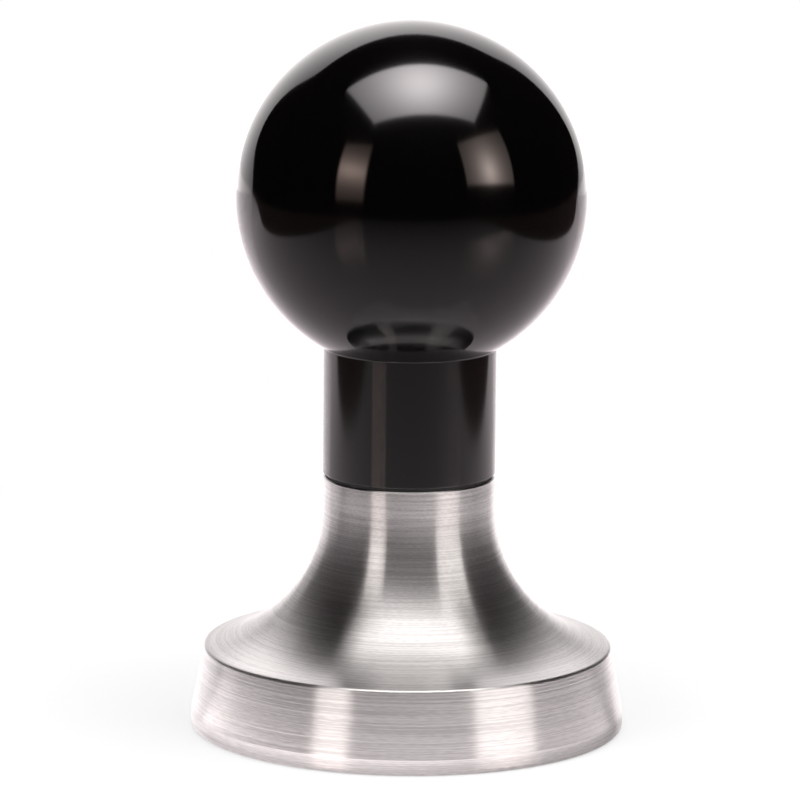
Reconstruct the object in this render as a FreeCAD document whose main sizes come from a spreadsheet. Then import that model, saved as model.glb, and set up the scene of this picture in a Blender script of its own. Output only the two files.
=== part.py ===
"""Espresso tamper: a turned steel base, a ball handle, and the set screw and washer that join them.

Frame: millimetres, +Z up, origin at the centre of the flat tamping face.  Every piece is turned
about Z.  Each body is drawn from its own lower end and put in place by its Placement.
"""
import FreeCAD, Part
import math
import os
import Sketcher

doc = FreeCAD.newDocument("espresso_tamper")

# ---------------------------------------------------------------- driving dimensions

DIMENSIONS = [
    # base
    ("base_diameter", 58.0, "widest diameter, the nominal size of the filter basket"),
    ("face_edge_radius", 0.7, "rounding between the tamping face and the rim"),
    ("land_height", 2.2, "top of the short cylindrical land that guides the base in the basket"),
    ("rim_taper", 1.65, "how far the rim's upper edge lies inside the land"),
    ("rim_height", 11.1, "height of the rim's upper edge"),
    ("rim_edge_radius", 0.5, "rounding of the rim's upper edge"),
    ("neck_diameter", 22.9, "diameter of the neck that carries the handle"),
    ("cove_sweep", 78.2, "degrees that the hollow curve turns from the neck's side out to the rim"),
    ("neck_length", 3.54, "straight length of the neck above the cove"),
    ("neck_edge_chamfer", 0.15, "chamfer around the neck's top face"),
    # handle
    ("collar_overhang", 0.1, "how far the collar stands outside the neck"),
    ("collar_length", 17.1, "straight length of the collar, up to the ball"),
    ("collar_edge_radius", 0.2, "rounding of the collar's lower edge"),
    ("ball_diameter", 46.7, "diameter of the ball grip"),
    ("ball_fillet_radius", 0.2, "fillet in the corner between the collar and the ball"),
    # set screw
    ("thread_diameter", 10.0, "outside diameter of the set screw's thread"),
    ("thread_pitch", 1.5, "rise of the thread in one turn"),
    ("stud_length", 30.0, "whole length of the set screw"),
    ("stud_depth_in_base", 15.0, "length of the set screw that is locked in the base"),
    ("socket_across_flats", 5.0, "hexagon socket for the key"),
    ("socket_depth", 5.0, "depth of the hexagon socket"),
    ("stud_end_chamfer", 0.9, "chamfer at both ends of the set screw"),
    # tapped holes
    ("thread_clearance", 0.08, "play around the set screw's thread, radial and along the axis"),
    ("hole_end_gap", 3.0, "free depth past each end of the set screw"),
    ("hole_mouth_chamfer", 0.3, "how far each countersink opens outside the thread"),
    # washer
    ("washer_thickness", 0.4, "thickness of the flat washer in the seam"),
    ("washer_inset", 0.25, "how far the washer's edge lies inside the neck's surface"),
    ("washer_hole_play", 0.3, "radial play between the washer and the set screw"),
    ("face_clearance", 0.02, "gap left on each side of the washer"),
]

sizes = doc.addObject("Spreadsheet::Sheet", "sizes")
for row, (alias, value, meaning) in enumerate(DIMENSIONS, start=1):
    sizes.set(f"A{row}", meaning)
    sizes.set(f"B{row}", str(value))
    sizes.setAlias(f"B{row}", alias)
doc.recompute()

# ISO metric thread proportions, as shares of the pitch
SCREW_THREAD_DEPTH = 0.6134
HOLE_THREAD_DEPTH = 0.5413
CREST_WIDTH = 0.125

# expressions over the sheet that several pieces share
NECK_RADIUS = "(sizes.neck_diameter / 2)"
COLLAR_RADIUS = f"({NECK_RADIUS} + sizes.collar_overhang)"
RIM_TOP_RADIUS = "(sizes.base_diameter / 2 - sizes.rim_taper)"
COVE_RADIUS = f"(({RIM_TOP_RADIUS} - {NECK_RADIUS}) / (1 - cos(sizes.cove_sweep)))"
SEAT_HEIGHT = f"(sizes.rim_height + {COVE_RADIUS} * sin(sizes.cove_sweep) + sizes.neck_length)"
PITCH = "sizes.thread_pitch"
CREST_RADIUS = "(sizes.thread_diameter / 2)"
HOLE_CREST_RADIUS = f"({CREST_RADIUS} - {HOLE_THREAD_DEPTH} * {PITCH})"
SCREW_ROOT_RADIUS = f"({CREST_RADIUS} - {SCREW_THREAD_DEPTH} * {PITCH})"
FLANK_SLOPE = "tan(30 deg)"             # 60 degree thread form
DRILL_POINT_SLOPE = "tan(59 deg)"       # 118 degree drill point
CUTTER_OVERHANG = 0.1                   # a thread cutter starts this far outside the metal
TURNS_PAST_STUD = 2                     # whole turns of thread cut in the base past the set screw's end
SEAM = "(sizes.washer_thickness + 2 * sizes.face_clearance)"
STUD_BELOW_HANDLE = f"(sizes.stud_depth_in_base + {SEAM})"
STUD_IN_HANDLE = f"(sizes.stud_length - {STUD_BELOW_HANDLE})"

TOLERANCE = 1e-3                        # for finding an edge by its size and for comparing volumes


# ---------------------------------------------------------------- helpers

def origin_plane(body, role):
    """One of the body's own origin planes, such as XZ_Plane."""
    return next(plane for plane in body.Origin.OriginFeatures if plane.Role == role)


def new_body(label, height=None):
    """A body whose own origin stands at the height given by an expression."""
    body = doc.addObject("PartDesign::Body", label)
    body.Label = label
    if height:
        body.setExpression(".Placement.Base.z", height)
    return body


def new_sketch(body, name, role):
    sketch = body.newObject("Sketcher::SketchObject", name)
    sketch.AttachmentSupport = [(origin_plane(body, role), "")]
    sketch.MapMode = "FlatFace"
    return sketch


def polyline(sketch, points):
    """Straight edges that join the points in turn; returns the index of each edge."""
    edges = []
    for (x1, y1), (x2, y2) in zip(points, points[1:]):
        line = Part.LineSegment(FreeCAD.Vector(x1, y1, 0), FreeCAD.Vector(x2, y2, 0))
        edges.append(sketch.addGeometry(line, False))
    return edges


def arc(sketch, centre, radius, start_angle, end_angle):
    circle = Part.Circle(FreeCAD.Vector(centre[0], centre[1], 0), FreeCAD.Vector(0, 0, 1), radius)
    return sketch.addGeometry(Part.ArcOfCircle(circle, start_angle, end_angle), False)


def size(sketch, name, expression, kind, *where):
    """A named dimension that follows the spreadsheet."""
    start_value = float(doc_value(expression))
    index = sketch.addConstraint(Sketcher.Constraint(kind, *where, start_value))
    sketch.renameConstraint(index, name)
    sketch.setExpression("Constraints." + name, expression)


def doc_value(expression):
    """The present value of an expression over the spreadsheet's aliases, in millimetres."""
    value = sizes.evalExpression(expression)
    return getattr(value, "Value", value)


def revolve(body, kind, name, sketch):
    """A full turn of the sketch about its own vertical axis, which is the body's Z."""
    feature = body.newObject(kind, name)
    feature.Profile = sketch
    feature.ReferenceAxis = (sketch, ["V_Axis"])
    feature.Angle = 360
    doc.recompute()
    return feature


def circular_edge(feature, radius, height):
    """Name of the feature's round edge about Z with this radius and height."""
    for number, edge in enumerate(feature.Shape.Edges, start=1):
        curve = edge.Curve
        if not isinstance(curve, Part.Circle):
            continue
        if abs(curve.Radius - radius) < TOLERANCE and abs(curve.Center.z - height) < TOLERANCE:
            return f"Edge{number}"
    raise RuntimeError(f"{feature.Label} has no round edge of radius {radius} at height {height}")


def dress_edge(body, kind, name, feature, radius, height, amount):
    """A fillet or chamfer on one round edge, with its size bound to the spreadsheet."""
    dressed = body.newObject(kind, name)
    dressed.Base = (feature, [circular_edge(feature, doc_value(radius), doc_value(height))])
    dressed.setExpression("Radius" if kind.endswith("Fillet") else "Size", amount)
    doc.recompute()
    return dressed


def at_height(sketch, name, expression, edge, end):
    """Fix the height of an edge's end, above or below the sketch's origin."""
    if doc_value(expression) < 0:
        size(sketch, name, f"-({expression})", "DistanceY", edge, end, -1, 1)
    else:
        size(sketch, name, expression, "DistanceY", -1, 1, edge, end)


def close_outline(sketch, edges):
    """Join each edge's end to the next edge's start, and the last to the first."""
    for edge, following in zip(edges, edges[1:] + edges[:1]):
        sketch.addConstraint(Sketcher.Constraint("Coincident", edge, 2, following, 1))


def drill(body, name, mouth, direction, depth):
    """A hole on Z at tap-drill size: countersink, straight wall and drill point.

    mouth is the height of the hole's mouth in the body, direction is -1 downwards or +1 upwards,
    and depth runs from the mouth to the drill point's shoulder.
    """
    mouth_radius = f"({CREST_RADIUS} + sizes.thread_clearance + sizes.hole_mouth_chamfer)"
    countersink_end = f"{mouth} + {direction} * ({mouth_radius} - {HOLE_CREST_RADIUS})"
    shoulder = f"{mouth} + {direction} * ({depth})"
    tip = f"{shoulder} + {direction} * {HOLE_CREST_RADIUS} / {DRILL_POINT_SLOPE}"
    r_mouth = doc_value(mouth_radius)
    r_hole = doc_value(HOLE_CREST_RADIUS)
    outline = [
        (0, doc_value(mouth)),
        (r_mouth, doc_value(mouth)),
        (r_hole, doc_value(countersink_end)),
        (r_hole, doc_value(shoulder)),
        (0, doc_value(tip)),
        (0, doc_value(mouth)),
    ]
    sketch = new_sketch(body, name + "_outline", "XZ_Plane")
    edges = polyline(sketch, outline)
    face, _, side, point, _ = edges
    close_outline(sketch, edges)
    sketch.addConstraint(Sketcher.Constraint("Horizontal", face))
    sketch.addConstraint(Sketcher.Constraint("Vertical", side))
    sketch.addConstraint(Sketcher.Constraint("PointOnObject", face, 1, -2))
    sketch.addConstraint(Sketcher.Constraint("PointOnObject", point, 2, -2))
    size(sketch, "hole_radius", HOLE_CREST_RADIUS, "DistanceX", -1, 1, side, 1)
    size(sketch, "mouth_radius", mouth_radius, "DistanceX", -1, 1, face, 2)
    at_height(sketch, "mouth", mouth, face, 2)
    at_height(sketch, "countersink_end", countersink_end, side, 1)
    at_height(sketch, "shoulder", shoulder, side, 2)
    at_height(sketch, "tip", tip, point, 2)
    doc.recompute()
    before = body.Tip.Shape.Volume
    groove = revolve(body, "PartDesign::Groove", name, sketch)
    drilled = math.pi * r_hole ** 2 * doc_value(depth)
    if groove.Shape.Volume > before - drilled:
        raise RuntimeError(f"{name} did not cut its hole")


def screw_groove_width(radius):
    """Axial width of the groove between the set screw's threads, at this radius."""
    return f"({1 - CREST_WIDTH} * {PITCH} + 2 * ({radius} - {CREST_RADIUS}) * {FLANK_SLOPE})"


def hole_groove_width(radius):
    """Axial width of a tapped hole's groove: the set screw's thread with play on both flanks."""
    return f"({PITCH} - {screw_groove_width(radius)} + 2 * sizes.thread_clearance)"


def cut_thread(body, name, width, root, opening, start, height):
    """A right-hand helical groove about Z.

    width gives the groove's width at a radius.  root and opening are the radii of its bottom and
    of the side where the cutter enters, start is its middle at the start, and height its rise.
    """
    z_start = doc_value(start)
    root_half = doc_value(width(root)) / 2
    open_half = doc_value(width(opening)) / 2
    r_root = doc_value(root)
    r_open = doc_value(opening)
    corners = [
        (r_root, z_start - root_half),
        (r_open, z_start - open_half),
        (r_open, z_start + open_half),
        (r_root, z_start + root_half),
        (r_root, z_start - root_half),
    ]
    sketch = new_sketch(body, name + "_section", "XZ_Plane")
    edges = polyline(sketch, corners)
    _, mouth, _, bottom = edges
    close_outline(sketch, edges)
    sketch.addConstraint(Sketcher.Constraint("Vertical", mouth))
    sketch.addConstraint(Sketcher.Constraint("Vertical", bottom))
    size(sketch, "root_radius", root, "DistanceX", -1, 1, bottom, 1)
    size(sketch, "opening_radius", opening, "DistanceX", -1, 1, mouth, 1)
    at_height(sketch, "opening_low", f"{start} - {width(opening)} / 2", mouth, 1)
    at_height(sketch, "opening_high", f"{start} + {width(opening)} / 2", mouth, 2)
    at_height(sketch, "root_high", f"{start} + {width(root)} / 2", bottom, 1)
    at_height(sketch, "root_low", f"{start} - {width(root)} / 2", bottom, 2)
    doc.recompute()
    before = body.Tip.Shape.Volume
    helix = body.newObject("PartDesign::SubtractiveHelix", name)
    helix.Profile = sketch
    helix.ReferenceAxis = (sketch, ["V_Axis"])
    helix.Mode = "pitch-height-angle"
    helix.setExpression("Pitch", PITCH)
    helix.setExpression("Height", height)
    helix.Angle = 0
    doc.recompute()
    if not helix.Shape.Volume < before:
        raise RuntimeError(f"{name} did not cut its groove")


def tap(body, name, stud_end, first_turn, end):
    """The thread of a tapped hole, in mesh with the set screw.

    stud_end is the height of the set screw's lower end in this body.  The groove follows the crest of
    the set screw's thread, from first_turn whole turns and a half above that end, up to end.
    """
    start = f"({stud_end} + ({first_turn} + 0.5) * {PITCH})"
    cut_thread(body, name, hole_groove_width, f"({CREST_RADIUS} + sizes.thread_clearance)",
               f"({HOLE_CREST_RADIUS} - {CUTTER_OVERHANG})", start, f"({end} - {start})")


# ---------------------------------------------------------------- base

def make_base():
    """The steel base: tamping face, land, tapered rim, cove and neck, tapped from the top."""
    body = new_body("base")
    r_face = doc_value("sizes.base_diameter / 2")
    r_edge = doc_value("sizes.face_edge_radius")
    r_rim = doc_value(RIM_TOP_RADIUS)
    r_neck = doc_value(NECK_RADIUS)
    cove = doc_value(COVE_RADIUS)
    land = doc_value("sizes.land_height")
    rim = doc_value("sizes.rim_height")
    seat = doc_value(SEAT_HEIGHT)
    sweep = math.radians(doc_value("sizes.cove_sweep"))
    neck_foot = seat - doc_value("sizes.neck_length")

    sketch = new_sketch(body, "base_outline", "XZ_Plane")
    face = polyline(sketch, [(0, 0), (r_face - r_edge, 0)])[0]
    corner = arc(sketch, (r_face - r_edge, r_edge), r_edge, -math.pi / 2, 0)
    guide, taper = polyline(sketch, [(r_face, r_edge), (r_face, land), (r_rim, rim)])
    hollow = arc(sketch, (r_neck + cove, neck_foot), cove, math.pi, math.pi + sweep)
    neck, top, axis = polyline(sketch, [(r_neck, neck_foot), (r_neck, seat), (0, seat), (0, 0)])

    sketch.addConstraint([
        Sketcher.Constraint("Coincident", face, 1, -1, 1),
        Sketcher.Constraint("Horizontal", face),
        Sketcher.Constraint("Tangent", face, 2, corner, 1),
        Sketcher.Constraint("Tangent", corner, 2, guide, 1),
        Sketcher.Constraint("Vertical", guide),
        Sketcher.Constraint("Coincident", guide, 2, taper, 1),
        Sketcher.Constraint("Coincident", taper, 2, hollow, 2),
        Sketcher.Constraint("Tangent", hollow, 1, neck, 1),
        Sketcher.Constraint("Vertical", neck),
        Sketcher.Constraint("Coincident", neck, 2, top, 1),
        Sketcher.Constraint("Horizontal", top),
        Sketcher.Constraint("Coincident", top, 2, axis, 1),
        Sketcher.Constraint("Coincident", axis, 2, face, 1),
        Sketcher.Constraint("PointOnObject", top, 2, -2),
    ])
    size(sketch, "face_corner", "sizes.face_edge_radius", "Radius", corner)
    size(sketch, "land_radius", "sizes.base_diameter / 2", "DistanceX", -1, 1, guide, 2)
    size(sketch, "land_height", "sizes.land_height", "DistanceY", -1, 1, guide, 2)
    size(sketch, "rim_radius", RIM_TOP_RADIUS, "DistanceX", -1, 1, taper, 2)
    size(sketch, "rim_height", "sizes.rim_height", "DistanceY", -1, 1, taper, 2)
    size(sketch, "cove_radius", COVE_RADIUS, "Radius", hollow)
    size(sketch, "neck_radius", NECK_RADIUS, "DistanceX", -1, 1, neck, 2)
    size(sketch, "neck_length", "sizes.neck_length", "DistanceY", neck, 1, neck, 2)
    doc.recompute()
    turned = revolve(body, "PartDesign::Revolution", "base_turned", sketch)
    rounded = dress_edge(body, "PartDesign::Fillet", "rim_edge", turned,
                         RIM_TOP_RADIUS, "sizes.rim_height", "sizes.rim_edge_radius")
    dress_edge(body, "PartDesign::Chamfer", "neck_edge", rounded,
               NECK_RADIUS, SEAT_HEIGHT, "sizes.neck_edge_chamfer")
    drill(body, "base_hole", SEAT_HEIGHT, -1, "sizes.stud_depth_in_base + sizes.hole_end_gap")
    tap(body, "base_thread", f"({SEAT_HEIGHT} - sizes.stud_depth_in_base)", -TURNS_PAST_STUD,
        f"({SEAT_HEIGHT} + {PITCH})")
    return body


# ---------------------------------------------------------------- washer

def make_washer():
    """The thin flat washer that lies on the neck and shows as a dark line in the seam."""
    body = new_body("washer", f"{SEAT_HEIGHT} + sizes.face_clearance")
    outer = f"{NECK_RADIUS} - sizes.washer_inset"
    inner = f"{CREST_RADIUS} + sizes.washer_hole_play"
    sketch = new_sketch(body, "washer_rings", "XY_Plane")
    for name, radius in (("outer_radius", outer), ("hole_radius", inner)):
        circle = Part.Circle(FreeCAD.Vector(0, 0, 0), FreeCAD.Vector(0, 0, 1), doc_value(radius))
        ring = sketch.addGeometry(circle, False)
        sketch.addConstraint(Sketcher.Constraint("Coincident", ring, 3, -1, 1))
        size(sketch, name, radius, "Radius", ring)
    pad = body.newObject("PartDesign::Pad", "washer_disc")
    pad.Profile = sketch
    pad.setExpression("Length", "sizes.washer_thickness")
    doc.recompute()
    return body


# ---------------------------------------------------------------- handle

def make_handle():
    """The handle: a ball grip on a straight collar, turned in one piece and tapped from below."""
    body = new_body("handle", f"{SEAT_HEIGHT} + {SEAM}")
    r_collar = doc_value(COLLAR_RADIUS)
    r_ball = doc_value("sizes.ball_diameter / 2")
    collar = doc_value("sizes.collar_length")
    centre = collar + math.sqrt(r_ball ** 2 - r_collar ** 2)
    start = -math.acos(r_collar / r_ball)

    sketch = new_sketch(body, "handle_outline", "XZ_Plane")
    foot, side = polyline(sketch, [(0, 0), (r_collar, 0), (r_collar, collar)])
    ball = arc(sketch, (0, centre), r_ball, start, math.pi / 2)
    axis = polyline(sketch, [(0, centre + r_ball), (0, 0)])[0]
    sketch.addConstraint([
        Sketcher.Constraint("Coincident", foot, 1, -1, 1),
        Sketcher.Constraint("Horizontal", foot),
        Sketcher.Constraint("Coincident", foot, 2, side, 1),
        Sketcher.Constraint("Vertical", side),
        Sketcher.Constraint("Coincident", side, 2, ball, 1),
        Sketcher.Constraint("PointOnObject", ball, 3, -2),
        Sketcher.Constraint("PointOnObject", ball, 2, -2),
        Sketcher.Constraint("Coincident", ball, 2, axis, 1),
        Sketcher.Constraint("Coincident", axis, 2, foot, 1),
    ])
    size(sketch, "collar_radius", COLLAR_RADIUS, "DistanceX", -1, 1, side, 1)
    size(sketch, "collar_length", "sizes.collar_length", "DistanceY", -1, 1, side, 2)
    size(sketch, "ball_radius", "sizes.ball_diameter / 2", "Radius", ball)
    doc.recompute()
    turned = revolve(body, "PartDesign::Revolution", "handle_turned", sketch)
    blended = dress_edge(body, "PartDesign::Fillet", "ball_corner", turned,
                         COLLAR_RADIUS, "sizes.collar_length", "sizes.ball_fillet_radius")
    dress_edge(body, "PartDesign::Fillet", "collar_edge", blended,
               COLLAR_RADIUS, "0", "sizes.collar_edge_radius")
    drill(body, "handle_hole", "0", 1, f"{STUD_IN_HANDLE} + sizes.hole_end_gap")
    tap(body, "handle_thread", f"(-{STUD_BELOW_HANDLE})", f"floor({STUD_BELOW_HANDLE} / {PITCH}) - 1",
        f"({STUD_IN_HANDLE} + {PITCH})")
    return body


# ---------------------------------------------------------------- set screw

def make_stud():
    """The headless set screw: locked in the base, with the handle screwed down on its upper half."""
    body = new_body("stud", f"{SEAT_HEIGHT} - sizes.stud_depth_in_base")
    blank_sketch = new_sketch(body, "stud_section", "XY_Plane")
    radius = doc_value(CREST_RADIUS)
    circle = Part.Circle(FreeCAD.Vector(0, 0, 0), FreeCAD.Vector(0, 0, 1), radius)
    crest = blank_sketch.addGeometry(circle, False)
    blank_sketch.addConstraint(Sketcher.Constraint("Coincident", crest, 3, -1, 1))
    size(blank_sketch, "crest_radius", CREST_RADIUS, "Radius", crest)
    blank = body.newObject("PartDesign::Pad", "stud_blank")
    blank.Profile = blank_sketch
    blank.setExpression("Length", "sizes.stud_length")
    doc.recompute()
    upper = dress_edge(body, "PartDesign::Chamfer", "upper_chamfer", blank,
                       CREST_RADIUS, "sizes.stud_length", "sizes.stud_end_chamfer")
    dress_edge(body, "PartDesign::Chamfer", "lower_chamfer", upper,
               CREST_RADIUS, "0", "sizes.stud_end_chamfer")
    cut_socket(body)
    cut_thread(body, "stud_thread", screw_groove_width, SCREW_ROOT_RADIUS,
               f"({CREST_RADIUS} + {CUTTER_OVERHANG})", f"-{PITCH}", f"sizes.stud_length + 2 * {PITCH}")
    return body


def cut_socket(body):
    """The hexagon socket in the set screw's upper end."""
    flats = doc_value("sizes.socket_across_flats")
    corner = flats / math.sqrt(3)
    sketch = new_sketch(body, "socket_hexagon", "XY_Plane")
    sketch.setExpression(".AttachmentOffset.Base.z", "sizes.stud_length")
    corners = [(corner * math.cos(k * math.pi / 3), corner * math.sin(k * math.pi / 3)) for k in range(7)]
    sides = polyline(sketch, corners)
    around = Part.Circle(FreeCAD.Vector(0, 0, 0), FreeCAD.Vector(0, 0, 1), corner)
    guide = sketch.addGeometry(around, True)
    sketch.addConstraint(Sketcher.Constraint("Coincident", guide, 3, -1, 1))
    close_outline(sketch, sides)
    for side in sides:
        sketch.addConstraint(Sketcher.Constraint("PointOnObject", side, 1, guide))
    for side in sides[1:]:
        sketch.addConstraint(Sketcher.Constraint("Equal", sides[0], side))
    sketch.addConstraint(Sketcher.Constraint("PointOnObject", sides[0], 1, -1))
    size(sketch, "corner_radius", "sizes.socket_across_flats / sqrt(3)", "Radius", guide)
    before = body.Tip.Shape.Volume
    pocket = body.newObject("PartDesign::Pocket", "socket")
    pocket.Profile = sketch
    pocket.setExpression("Length", "sizes.socket_depth")
    doc.recompute()
    hexagon_area = math.sqrt(3) / 2 * flats ** 2
    removed = before - pocket.Shape.Volume
    if not math.isclose(removed, hexagon_area * doc_value("sizes.socket_depth"), rel_tol=TOLERANCE):
        raise RuntimeError("the hexagon socket was not cut")


# ---------------------------------------------------------------- build, check and write

def check_document():
    """Stop if any object of the document failed to build."""
    for item in doc.Objects:
        if "Invalid" in item.State or "Error" in item.State:
            raise RuntimeError(f"{item.Label} is {item.State}")


def write(body):
    """Check one piece and write it as parts/LABEL.step."""
    shape = body.Shape
    if shape.isNull() or not shape.isValid() or len(shape.Solids) != 1:
        raise RuntimeError(f"{body.Label} is not one valid solid")
    shape.exportStep(f"parts/{body.Label}.step")
    box = shape.optimalBoundingBox()
    print(f"{body.Label}: {shape.Volume:.1f} mm3, x to {box.XMax:.3f}, z {box.ZMin:.3f} to {box.ZMax:.3f}")


pieces = [make_base(), make_washer(), make_handle(), make_stud()]
doc.recompute()
check_document()
os.makedirs("parts", exist_ok=True)
for piece in pieces:
    write(piece)
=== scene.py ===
"""The looks of the espresso tamper: finishes, table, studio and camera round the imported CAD.

Metres, in the CAD frame: +Z up, origin at the centre of the tamping face, camera in front at -Y.
"""
import math
from collections import namedtuple
import bpy
from mathutils import Matrix, Vector


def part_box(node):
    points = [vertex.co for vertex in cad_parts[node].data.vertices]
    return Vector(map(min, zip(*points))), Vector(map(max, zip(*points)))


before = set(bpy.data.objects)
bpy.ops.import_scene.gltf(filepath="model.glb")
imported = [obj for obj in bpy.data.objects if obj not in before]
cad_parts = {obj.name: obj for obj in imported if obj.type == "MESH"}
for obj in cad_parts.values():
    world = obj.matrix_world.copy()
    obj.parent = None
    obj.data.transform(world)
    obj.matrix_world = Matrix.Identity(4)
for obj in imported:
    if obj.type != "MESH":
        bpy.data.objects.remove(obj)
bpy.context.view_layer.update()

MM = 0.001
BASE_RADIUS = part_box("base")[1].x
handle_low, handle_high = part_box("handle")
BALL_RADIUS = handle_high.x
BALL_CENTRE = Vector((0, 0, handle_high.z - BALL_RADIUS))
COLLAR_LENGTH = 17.1 * MM
COLLAR_TOP = handle_low.z + COLLAR_LENGTH


# ---------------------------------------------------------------- node helpers

def add(tree, kind, inputs=None, **settings):
    """A shader node with its settings, and with each named input set to a value or linked to a socket."""
    node = tree.nodes.new("ShaderNode" + kind)
    for name, value in settings.items():
        setattr(node, name, value)
    for name, value in (inputs or {}).items():
        if isinstance(value, bpy.types.NodeSocket):
            tree.links.new(value, node.inputs[name])
        else:
            node.inputs[name].default_value = value
    return node


def calc(tree, operation, first, second=0.0):
    """The output of one Math node."""
    return add(tree, "Math", {0: first, 1: second}, operation=operation).outputs[0]


def weighted(tree, start, *terms):
    """start plus weight times value for each (weight, value) of terms."""
    total = start
    for weight, value in terms:
        total = add(tree, "Math", {0: value, 1: weight, 2: total}, operation="MULTIPLY_ADD").outputs[0]
    return total


def remap(tree, value, low, high, to_low=0.0, to_high=1.0):
    """value between low and high, mapped smoothly between to_low and to_high and held there outside."""
    inputs = {"Value": value, "From Min": low, "From Max": high, "To Min": to_low, "To Max": to_high}
    return add(tree, "MapRange", inputs, interpolation_type="SMOOTHSTEP", clamp=True).outputs[0]


def noise(tree, vector, scale, detail=2.0, roughness=0.5):
    """Perlin noise from 0 to 1."""
    inputs = {"Vector": vector, "Scale": scale, "Detail": detail, "Roughness": roughness}
    return add(tree, "TexNoise", inputs).outputs["Fac"]


def mix_colour(tree, factor, first, second):
    """first where factor is 0 and second where it is 1; each is three numbers or a socket."""
    ends = [end if isinstance(end, bpy.types.NodeSocket) else (*end, 1) for end in (first, second)]
    return add(tree, "Mix", {"Factor": factor, 6: ends[0], 7: ends[1]}, data_type="RGBA").outputs[2]


def mix_shader(tree, factor, first, second):
    """first where factor is 0 and second where it is 1."""
    return add(tree, "MixShader", {0: factor, 1: first, 2: second}).outputs[0]


def new_material(name):
    """An empty material and its node tree."""
    material = bpy.data.materials.new(name)
    material.use_nodes = True
    material.node_tree.nodes.clear()
    return material, material.node_tree


def output(tree, shader):
    """Make a shader the material's surface."""
    tree.links.new(shader, add(tree, "OutputMaterial").inputs["Surface"])


def object_place(tree):
    """The point in the object's own frame, which is the CAD frame for a CAD node."""
    return add(tree, "TexCoord").outputs["Object"]


def xyz(tree, vector):
    """The three parts of a vector."""
    return add(tree, "SeparateXYZ", {0: vector}).outputs


def axis_distance(tree, place):
    """Distance from the Z axis."""
    flat = add(tree, "CombineXYZ", {0: place[0], 1: place[1]}).outputs[0]
    return add(tree, "VectorMath", {0: flat}, operation="LENGTH").outputs["Value"]


# ---------------------------------------------------------------- materials

STEEL = (0.66, 0.645, 0.64)
ACROSS_THE_LINES = 0.25                # in turns; lines draw a highlight out at a right angle to themselves


def streak_space(tree):
    """A vector for streaks round the axis of a turned piece.

    Its X and Y go once round a circle and its Z runs along the profile in millimetres, so noise read
    there has no seam, and a small X and Y scale draws it out into long streaks round the piece.
    """
    place = xyz(tree, object_place(tree))
    radius = axis_distance(tree, place)
    safe_radius = calc(tree, "MAXIMUM", radius, 0.01 * MM)
    along = calc(tree, "SUBTRACT", place[2], radius)
    parts = {0: calc(tree, "DIVIDE", place[0], safe_radius),
             1: calc(tree, "DIVIDE", place[1], safe_radius),
             2: calc(tree, "DIVIDE", along, MM)}
    return add(tree, "CombineXYZ", parts).outputs[0]


def streaks(tree, streak, round_scale, line_width_mm, detail=0.0):
    """Lines of the given width round the axis; round_scale says how often they break up in a turn."""
    stretch = add(tree, "VectorMath", {0: streak, 1: (round_scale, round_scale, 1 / line_width_mm)},
                  operation="MULTIPLY").outputs[0]
    return noise(tree, stretch, 1.0, detail, roughness=0.6)


def bump(tree, height, strength, depth):
    """The normal of a surface with a height map from 0 to 1 that is depth deep."""
    return add(tree, "Bump", {"Strength": strength, "Distance": depth, "Height": height}).outputs[0]


def round_tangent(tree):
    """The direction round the axis."""
    return add(tree, "Tangent", direction_type="RADIAL", axis="Z").outputs[0]


def brushed_steel():
    """Stainless steel with a brushed finish round the axis, as left by abrasive on a lathe."""
    material, tree = new_material("brushed_steel")
    streak = streak_space(tree)
    short = streaks(tree, streak, round_scale=22.0, line_width_mm=0.14)
    fine = streaks(tree, streak, round_scale=1.2, line_width_mm=0.17)
    broad = streaks(tree, streak, round_scale=0.45, line_width_mm=0.32)
    cloud = noise(tree, object_place(tree), 60.0)
    tone = weighted(tree, 0.0, (0.08, cloud), (0.27, short), (0.37, fine), (0.28, broad))

    darkest = tuple(0.86 * c for c in STEEL)
    lightest = tuple(1.13 * c for c in STEEL)
    shader = add(tree, "BsdfPrincipled", {
        "Base Color": mix_colour(tree, remap(tree, tone, 0.36, 0.64), darkest, lightest),
        "Metallic": 1.0,
        "Roughness": remap(tree, tone, 0.3, 0.7, 0.275, 0.281),
        "Anisotropic": 0.96,
        "Anisotropic Rotation": ACROSS_THE_LINES,
        "Tangent": round_tangent(tree),
        "Normal": bump(tree, tone, strength=1.0, depth=0.020 * MM),
    })
    output(tree, shader.outputs[0])
    return material


def black_handle():
    """Glossy black: polished on the ball, with fine turning lines left on the collar."""
    material, tree = new_material("black_gloss")
    place = object_place(tree)
    lines = streaks(tree, streak_space(tree), round_scale=3.0, line_width_mm=0.12, detail=2.0)
    ripple = noise(tree, place, 700.0)
    on_collar = remap(tree, xyz(tree, place)[2], COLLAR_TOP + 0.2 * MM, COLLAR_TOP - 0.3 * MM)

    smoothing = remap(tree, lines, 0.0, 1.0, -0.014, -0.002)
    turned = calc(tree, "MULTIPLY", on_collar, weighted(tree, lines, (0.4, ripple)))
    shader = add(tree, "BsdfPrincipled", {
        "Base Color": (0.0011, 0.0009, 0.0009, 1),
        "Metallic": 0.0,
        "IOR": 1.5,
        "Specular IOR Level": remap(tree, on_collar, 0.0, 1.0, 0.5, 1.0),
        "Roughness": weighted(tree, 0.066, (smoothing, on_collar)),
        "Anisotropic": 1.0,
        "Anisotropic Rotation": ACROSS_THE_LINES,
        "Tangent": round_tangent(tree),
        "Normal": bump(tree, turned, strength=0.2, depth=0.004 * MM),
    })
    output(tree, shader.outputs[0])
    return material


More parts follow.
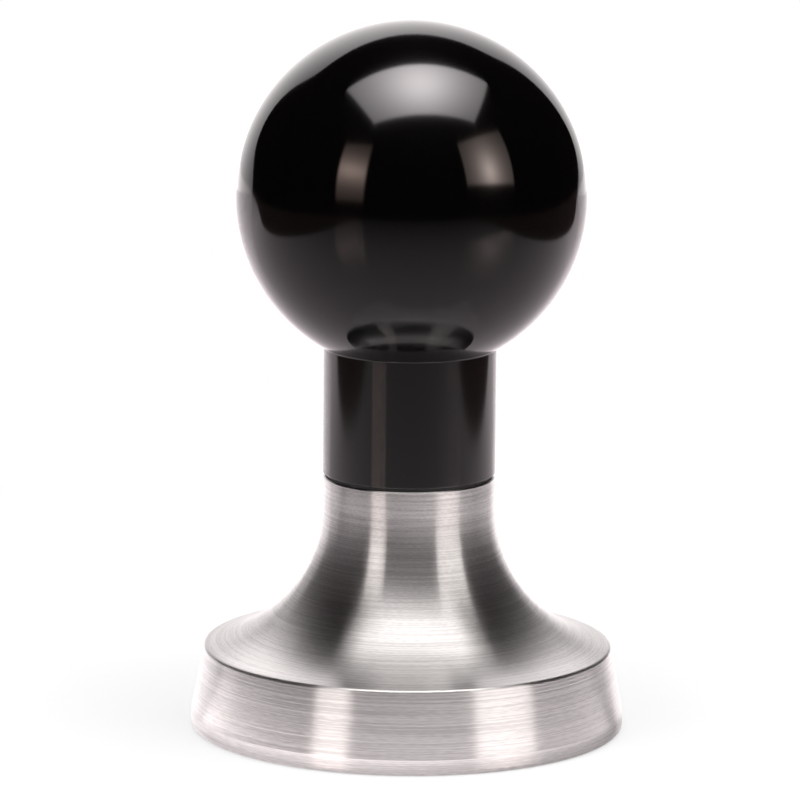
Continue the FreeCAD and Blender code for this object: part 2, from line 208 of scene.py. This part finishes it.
def matt_black():
    """The washer: plain black fibre or plastic, slightly mottled."""
    material, tree = new_material("washer_matt_black")
    grain = noise(tree, object_place(tree), 4000.0, detail=3.0)
    shader = add(tree, "BsdfPrincipled", {
        "Base Color": mix_colour(tree, grain, (0.006, 0.006, 0.006), (0.014, 0.013, 0.013)),
        "Roughness": remap(tree, grain, 0.2, 0.8, 0.6, 0.8),
        "Normal": bump(tree, grain, strength=0.3, depth=0.01 * MM),
    })
    output(tree, shader.outputs[0])
    return material


def machined_steel():
    """The set screw: plain rolled steel, a little darker than the base."""
    material, tree = new_material("machined_steel")
    lines = streaks(tree, streak_space(tree), round_scale=3.0, line_width_mm=0.08, detail=3.0)
    cloud = noise(tree, object_place(tree), 300.0, detail=3.0)
    shader = add(tree, "BsdfPrincipled", {
        "Base Color": mix_colour(tree, cloud, (0.30, 0.30, 0.31), (0.46, 0.45, 0.45)),
        "Metallic": 1.0,
        "Roughness": weighted(tree, remap(tree, lines, 0.3, 0.7, 0.28, 0.42), (0.05, cloud)),
        "Normal": bump(tree, lines, strength=0.2, depth=0.004 * MM),
    })
    output(tree, shader.outputs[0])
    return material


def dress(node, material):
    """Give a CAD node its material in every slot."""
    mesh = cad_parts[node].data
    for slot in range(len(mesh.materials)):
        mesh.materials[slot] = material


# ---------------------------------------------------------------- panels of light

def panel(name, corners):
    """A flat mesh of the stage with one face."""
    mesh = bpy.data.meshes.new(name)
    mesh.from_pydata([tuple(c) for c in corners], [], [tuple(range(len(corners)))])
    thing = bpy.data.objects.new(name, mesh)
    bpy.context.scene.collection.objects.link(thing)
    return thing


def collection_of(name, nodes):
    """A collection of CAD nodes, for light linking."""
    group = bpy.data.collections.new(name)
    for node in nodes:
        group.objects.link(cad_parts[node])
    return group


BLACK_PIECES = collection_of("black_pieces", ["handle"])
STEEL_PIECES = collection_of("steel_pieces", ["base", "washer", "stud"])


def glowing_panel(name, corners, placement, receivers, tint, strength_of):
    """A panel that glows in the reflections of the receivers alone and hides nothing behind it."""
    glowing = panel(name + "_on_" + receivers.name, corners)
    glowing.matrix_world = placement
    material, tree = new_material(glowing.name)
    place = xyz(tree, object_place(tree))
    glow = add(tree, "Emission", {"Color": (*tint, 1), "Strength": strength_of(tree, place)}).outputs[0]
    clear = add(tree, "BsdfTransparent").outputs[0]
    output(tree, add(tree, "AddShader", {0: glow, 1: clear}).outputs[0])
    glowing.data.materials.append(material)
    glowing.visible_camera = False
    glowing.visible_diffuse = False
    glowing.visible_transmission = False
    glowing.visible_shadow = False
    glowing.light_linking.receiver_collection = receivers


def falloff(tree, across, up, spread_u, spread_v):
    """1 where across and up are zero, and less round it, as behind the cloth of a real softbox."""
    squares = []
    for socket, spread in ((across, spread_u), (up, spread_v)):
        offset = calc(tree, "DIVIDE", socket, spread)
        squares.append(calc(tree, "MULTIPLY", offset, offset))
    return calc(tree, "DIVIDE", 1.0, calc(tree, "ADD", calc(tree, "ADD", squares[0], squares[1]), 1.0))


def fade_at_edges(tree, place, corners, margin):
    """1 inside a flat outline round the origin and 0 outside, with a soft edge margin wide."""
    share = 1.0
    for here, there in zip(corners, corners[1:] + corners[:1]):
        inward = Vector((here.y - there.y, there.x - here.x)).normalized()
        reach = -inward.dot(here.xy)
        if reach < 0:
            inward, reach = -inward, -reach
        along = weighted(tree, 0.0, (inward.x, place[0]), (inward.y, place[1]))
        inside = remap(tree, along, -reach - margin / 2, -reach + margin / 2)
        share = calc(tree, "MULTIPLY", inside, share)
    return share


def direction(azimuth, elevation):
    """Unit vector at an azimuth measured from the camera's side towards +X, and an elevation, in degrees."""
    a, e = math.radians(azimuth), math.radians(elevation)
    return Vector((math.sin(a) * math.cos(e), -math.cos(a) * math.cos(e), math.sin(e)))


# ---------------------------------------------------------------- softboxes

OVERHEAD_HEIGHT = 0.45
SIDE_DISTANCE = 1.60
EVEN = 20.0                            # a spread so wide that the panel glows evenly
PANEL_ROOM = 1.2                       # how much larger a panel is than its outline, for the soft edge
STEEL_PANEL_BEHIND = 1.0 * MM          # keeps the panels of the two exposures out of one plane

Exposure = namedtuple("Exposure", "outline brightest tint peak spread_u spread_v")


def softbox(name, hot_spot, facing, margin, on_black, on_steel, lamp_watts):
    """A softbox: panels that glow in reflections, and a lamp that lights matt surfaces.

    The panels lie in the plane through hot_spot square to facing. The outlines and the brightest points
    are given as directions from the centre of the ball. There is one panel for the black handle and one
    for the steel, as the photograph shows black and metal at levels that one exposure doesn't give.
    """
    turn = facing.to_track_quat("Z", "Y").to_matrix()
    reach = hot_spot.dot(facing)

    def in_plane(point):
        return turn.transposed() @ (point * (reach / point.dot(facing)) - hot_spot)

    def placement(behind):
        return Matrix.Translation(BALL_CENTRE + hot_spot - facing * behind) @ turn.to_4x4()

    for receivers, exposure, behind in ((STEEL_PIECES, on_steel, STEEL_PANEL_BEHIND),
                                        (BLACK_PIECES, on_black, 0.0)):
        corners = [in_plane(point) for point in exposure.outline]
        centre = in_plane(exposure.brightest)

        def strength(tree, place):
            across = calc(tree, "SUBTRACT", place[0], centre.x)
            up = calc(tree, "SUBTRACT", place[1], centre.y)
            shape = falloff(tree, across, up, exposure.spread_u, exposure.spread_v)
            glow = calc(tree, "MULTIPLY", shape, exposure.peak)
            return calc(tree, "MULTIPLY", glow, fade_at_edges(tree, place, corners, margin))

        glowing_panel(name, [(c.x * PANEL_ROOM, c.y * PANEL_ROOM, 0) for c in corners],
                      placement(behind), receivers, exposure.tint, strength)

    corners = [in_plane(point) for point in on_black.outline]
    light = bpy.data.lights.new(name + "_lamp", "AREA")
    light.shape = "RECTANGLE"
    light.size = max(c.x for c in corners) - min(c.x for c in corners)
    light.size_y = max(c.y for c in corners) - min(c.y for c in corners)
    light.energy = lamp_watts
    lamp = bpy.data.objects.new(name + "_lamp", light)
    bpy.context.scene.collection.objects.link(lamp)
    lamp.matrix_world = placement(0.0) @ Matrix.Rotation(math.pi, 4, "X")
    lamp.visible_glossy = False
    lamp.visible_camera = False


def make_overhead():
    """The softbox overhead, whose front edge reaches further forward for the steel."""
    h = OVERHEAD_HEIGHT
    hot_spot = Vector((0.07, -0.09, 1)) * h
    back_edge = [Vector((-0.632, 0.108, 1)), Vector((0.691, 0.347, 1))]
    front_edge = [Vector((0.769, -0.413, 1)), Vector((-0.47, -0.594, 1))]
    front_edge_on_steel = [Vector((0.769, -0.60, 1)), Vector((-0.47, -0.73, 1))]
    on_black = Exposure(back_edge + front_edge, hot_spot, (1.0, 0.94, 0.95), 14.4, 0.345 * h, 0.40 * h)
    on_steel = Exposure(back_edge + front_edge_on_steel, Vector((0.02, -0.14, 1)), (1.0, 0.97, 0.96), 4.25,
                        0.55 * h, 0.75 * h)
    softbox("overhead", hot_spot, Vector((0, 0, -1)), 4 * MM, on_black, on_steel, lamp_watts=4.0)


def make_side_boxes():
    """A softbox at each side of the camera, whose lower edge hangs lower for the steel."""
    def spread(degrees):
        return SIDE_DISTANCE * math.tan(math.radians(degrees))

    def outline_of(*corners):
        return [direction(azimuth, elevation) for azimuth, elevation in corners]

    left = direction(-43, 22)
    on_black = Exposure(outline_of((-54, 36.3), (-32.1, 39.8), (-31.5, 4.2), (-50.2, 3.4)), left,
                        (1.0, 0.75, 0.66), 5.1, spread(15), spread(6))
    on_steel = Exposure(outline_of((-54, 36.3), (-32.1, 39.8), (-31.5, -2), (-50.2, -2)), left,
                        (1.0, 0.95, 0.92), 1.5, EVEN, EVEN)
    softbox("left_box", left * SIDE_DISTANCE, -left, spread(3), on_black, on_steel, lamp_watts=5.0)

    right = direction(55.5, 20)
    on_black = Exposure(outline_of((37.4, 40.3), (78, 38.3), (71.7, 9.9), (37.5, 14.5)), right,
                        (1.0, 0.82, 0.75), 8.6, spread(6.5), spread(10))
    on_steel = Exposure(outline_of((37.4, 40.3), (78, 38.3), (71.7, 2), (37.5, -2)), right,
                        (1.0, 0.96, 0.93), 1.2, EVEN, EVEN)
    softbox("right_box", right * SIDE_DISTANCE, -right, spread(2), on_black, on_steel, lamp_watts=5.0)


# ---------------------------------------------------------------- table and backdrop

TABLE_OUTLINE = [(-0.42, -0.62), (0.42, -0.60), (0.371, -0.326), (0.248, -0.108), (0.208, -0.019),
                 (0.198, 0.07), (0.214, 0.187), (0.298, 0.29), (0.44, 0.45), (0.44, 0.70),
                 (-0.66, 0.70), (-0.62, 0.45), (-0.48, 0.27), (-0.35, 0.165), (-0.244, 0.10),
                 (-0.214, 0.034), (-0.213, -0.014), (-0.219, -0.099), (-0.263, -0.241)]
BACKDROP_OUTLINE = [(-0.66, -0.30), (-0.62, 0.0), (-0.57, 0.08), (-0.43, 0.14), (-0.375, 0.21),
                    (-0.375, 0.31), (-0.43, 0.52), (-0.30, 0.54), (-0.135, 0.495), (0.0, 0.455),
                    (0.12, 0.452), (0.24, 0.44), (0.26, 0.34), (0.277, 0.25), (0.275, 0.16),
                    (0.265, 0.09), (0.33, 0.045), (0.44, 0.0), (0.46, -0.30)]
BACKDROP_Y = 0.45
GROUND_DEPTH = 0.7
LOW_CARD_DEPTH = 0.12
SIDE_FILL_X = 0.75
TABLE_IOR = 1.5
TABLE_ROUGHNESS = 0.12
TABLE_OPENING = BASE_RADIUS - 0.5 * MM     # its radius, which ends just past the flat face
OPENING_FADE = 0.1 * MM
TABLE_LIGHT_HEIGHT = 0.02 * MM             # keeps the panels of light out of the table's plane
TABLE_LIGHT_HEIGHT_ON_STEEL = 0.03 * MM


def rounded(outline, passes=2):
    """A closed outline with its corners cut off, passes times."""
    for _ in range(passes):
        cut = []
        for here, there in zip(outline, outline[1:] + outline[:1]):
            for share in (0.25, 0.75):
                cut.append(tuple(a + (b - a) * share for a, b in zip(here, there)))
        outline = cut
    return outline


def flat_corners(outline):
    """The corners of a panel with a rounded outline, in its own plane."""
    return [(across, up, 0) for across, up in rounded(outline)]


def square(reach):
    """Corners of a level square round the axis."""
    return [(-reach, -reach, 0), (reach, -reach, 0), (reach, reach, 0), (-reach, reach, 0)]


def lifted(height):
    """A placement at a height on the axis."""
    return Matrix.Translation((0, 0, height))


def table_gloss_share(tree):
    """How much of the light the table's gloss takes."""
    return add(tree, "Fresnel", {"IOR": TABLE_IOR}).outputs[0]


def make_table():
    """The glossy white table.

    The camera sees it white, with the object's soft shadow close round the foot. Reflections see only its
    gloss here, which mirrors the panels meant for the black pieces; make_table_light gives them its white.
    It is open under the tamping face and clear from below, so that the underside can be looked at.
    """
    table = panel("table", flat_corners(TABLE_OUTLINE))
    material, tree = new_material("table_white")
    distance = axis_distance(tree, xyz(tree, object_place(tree)))
    path = add(tree, "LightPath").outputs

    matt = add(tree, "BsdfDiffuse", {"Color": (0.8, 0.8, 0.8, 1)}).outputs[0]
    dark = add(tree, "BsdfDiffuse", {"Color": (0, 0, 0, 1)}).outputs[0]
    gloss = add(tree, "BsdfAnisotropic", {"Color": (1, 1, 1, 1), "Roughness": TABLE_ROUGHNESS}).outputs[0]
    mirrored = mix_shader(tree, table_gloss_share(tree), dark, gloss)
    lit = mix_shader(tree, path["Is Glossy Ray"], matt, mirrored)

    white = add(tree, "Emission", {"Color": (1, 1, 1, 1), "Strength": 1.0}).outputs[0]
    whiteness = remap(tree, distance, 0.03, 0.16, 0.55, 1.0)
    seen = mix_shader(tree, calc(tree, "MULTIPLY", path["Is Camera Ray"], whiteness), lit, white)

    clear = add(tree, "BsdfTransparent").outputs[0]
    under_face = remap(tree, distance, TABLE_OPENING - OPENING_FADE, TABLE_OPENING, 1.0, 0.0)
    from_below = add(tree, "NewGeometry").outputs["Backfacing"]
    output(tree, mix_shader(tree, calc(tree, "MAXIMUM", under_face, from_below), seen, clear))
    table.data.materials.append(material)
    BLACK_PIECES.objects.link(table)


def make_table_light():
    """The white of the table as reflections show it, in the two exposures."""
    def on_black(tree, place):
        """Brighter towards the back, up to a limit, less what the table's gloss takes."""
        growing = calc(tree, "EXPONENT", calc(tree, "DIVIDE", place[1], 0.18))
        glow = calc(tree, "MINIMUM", weighted(tree, 0.12, (0.62, growing)), 1.5)
        matt_share = calc(tree, "SUBTRACT", 1.0, table_gloss_share(tree))
        return calc(tree, "MULTIPLY", glow, matt_share)

    def on_steel(tree, place):
        """A ring of light that is stronger in front and on the left, and a more even table behind.

        The ring is shaded close round the object's foot, and further out towards the back.
        """
        distance = axis_distance(tree, place)
        right = calc(tree, "DIVIDE", place[0], distance)
        back = calc(tree, "DIVIDE", place[1], distance)
        reach = weighted(tree, 96 * MM, (26 * MM, back), (19 * MM, right))
        fading = remap(tree, calc(tree, "DIVIDE", distance, reach), 0.45, 1.4, 1.25, 0.0)
        strength = weighted(tree, 2.45, (-0.7, back), (-0.85, right))
        past_shadow = weighted(tree, distance, (-50 * MM, calc(tree, "MAXIMUM", back, 0.0)))
        shade = remap(tree, past_shadow, 32 * MM, 42 * MM, 0.2, 1.0)
        ring = calc(tree, "MULTIPLY", calc(tree, "MULTIPLY", fading, strength), shade)
        behind = remap(tree, distance, 0.2, 0.5, 0.95, 0.65)
        return add(tree, "Mix", {"Factor": remap(tree, back, 0.05, 0.35), "A": ring, "B": behind}).outputs[0]

    corners = flat_corners(TABLE_OUTLINE)
    glowing_panel("table_light", corners, lifted(TABLE_LIGHT_HEIGHT), BLACK_PIECES, (1.0, 0.89, 0.92),
                  on_black)
    glowing_panel("table_light", corners, lifted(TABLE_LIGHT_HEIGHT_ON_STEEL), STEEL_PIECES,
                  (1.0, 0.93, 0.945), on_steel)


def make_ground():
    """The dim brown studio floor past the table's edge, which only the black is glossy enough to show."""
    glow = 0.06
    glowing_panel("ground", square(6.0), lifted(-GROUND_DEPTH), BLACK_PIECES, (1.0, 0.69, 0.62),
                  lambda tree, place: glow)


def make_low_card():
    """A grey card under the table, which only the tamping face is turned to."""
    def strength(tree, place):
        across = calc(tree, "ADD", place[0], 0.06)
        return falloff(tree, across, place[1], 0.12, 0.25)

    glowing_panel("low_card", square(0.30), lifted(-LOW_CARD_DEPTH), STEEL_PIECES, (1.0, 0.97, 0.96),
                  strength)


def make_backdrop():
    """The bright card behind the object, which shows in its gloss, in the two exposures."""
    corners = flat_corners(BACKDROP_OUTLINE)
    upright = Matrix.Translation((0, BACKDROP_Y, 0)) @ Matrix.Rotation(math.radians(90), 4, "X")
    tint = (1.0, 0.96, 0.96)

    def on_black(tree, place):
        across = calc(tree, "ADD", place[0], 0.08)
        up = calc(tree, "SUBTRACT", place[1], 0.40)
        return calc(tree, "MULTIPLY", falloff(tree, across, up, 0.40, 0.70), 1.9)

    def on_steel(tree, place):
        upper = remap(tree, place[1], 0.15, 0.35, 0.0, 2.0)
        upper = calc(tree, "MULTIPLY", upper, falloff(tree, place[0], 0.0, 0.2, 1.0))
        aside = calc(tree, "ABSOLUTE", calc(tree, "ADD", place[0], 0.03))
        return calc(tree, "ADD", upper, remap(tree, aside, 0.13, 0.26, 0.92, 0.3))

    further_back = Matrix.Translation((0, STEEL_PANEL_BEHIND, 0)) @ upright
    glowing_panel("backdrop", corners, upright, BLACK_PIECES, tint, on_black)
    glowing_panel("backdrop", corners, further_back, STEEL_PIECES, tint, on_steel)


def make_side_fill():
    """A dim reflector at the right, under the softbox, that fills the darker side of the steel."""
    glow = 0.4
    corners = [(0, -0.90, 0.0), (0, -0.25, 0.0), (0, -0.25, 0.30), (0, -0.90, 0.30)]
    glowing_panel("side_fill", corners, Matrix.Translation((SIDE_FILL_X, 0, 0)), STEEL_PIECES,
                  (1.0, 0.96, 0.95), lambda tree, place: glow)


# ---------------------------------------------------------------- world and camera

def make_world():
    """White where the camera looks past the table, a dark studio in reflections, grey for matt surfaces."""
    world = bpy.data.worlds.new("studio")
    bpy.context.scene.world = world
    world.use_nodes = True
    tree = world.node_tree
    tree.nodes.clear()
    path = add(tree, "LightPath").outputs
    dark_studio = (0.005, 0.003, 0.0035)
    grey_fill = (0.25, 0.25, 0.25)
    unseen = mix_colour(tree, path["Is Diffuse Ray"], dark_studio, grey_fill)
    seen = calc(tree, "MAXIMUM", path["Is Camera Ray"], path["Is Transmission Ray"])
    colour = mix_colour(tree, seen, unseen, (1, 1, 1))
    background = add(tree, "Background", {"Color": colour, "Strength": 1.0})
    tree.links.new(background.outputs[0], add(tree, "OutputWorld").inputs["Surface"])


def make_camera():
    """A long lens in front of the object, looking down a little."""
    distance = 0.900
    tilt = 0.1982                          # radians, as is roll
    roll = -0.0090
    aim = Vector((-1.28 * MM, 0, 44.4 * MM))
    forward = Vector((0, math.cos(tilt), -math.sin(tilt)))
    level_up = Vector((0, math.sin(tilt), math.cos(tilt)))
    level_right = Vector((1, 0, 0))
    up = level_up * math.cos(roll) + level_right * math.sin(roll)
    right = level_right * math.cos(roll) - level_up * math.sin(roll)
    data = bpy.data.cameras.new("camera")
    data.lens = 303.4
    data.sensor_width = 36.0
    data.clip_start = 0.05
    data.clip_end = 20.0
    camera = bpy.data.objects.new("camera", data)
    place = aim - forward * distance
    camera.matrix_world = Matrix((
        (right.x, up.x, -forward.x, place.x),
        (right.y, up.y, -forward.y, place.y),
        (right.z, up.z, -forward.z, place.z),
        (0, 0, 0, 1),
    ))
    bpy.context.scene.collection.objects.link(camera)
    bpy.context.scene.camera = camera


# ---------------------------------------------------------------- build

make_camera()
make_world()
make_table()
make_table_light()
make_ground()
make_low_card()
make_backdrop()
make_overhead()
make_side_boxes()
make_side_fill()
dress("base", brushed_steel())
dress("handle", black_handle())
dress("washer", matt_black())
dress("stud", machined_steel())
bpy.context.scene.view_settings.view_transform = "Standard"
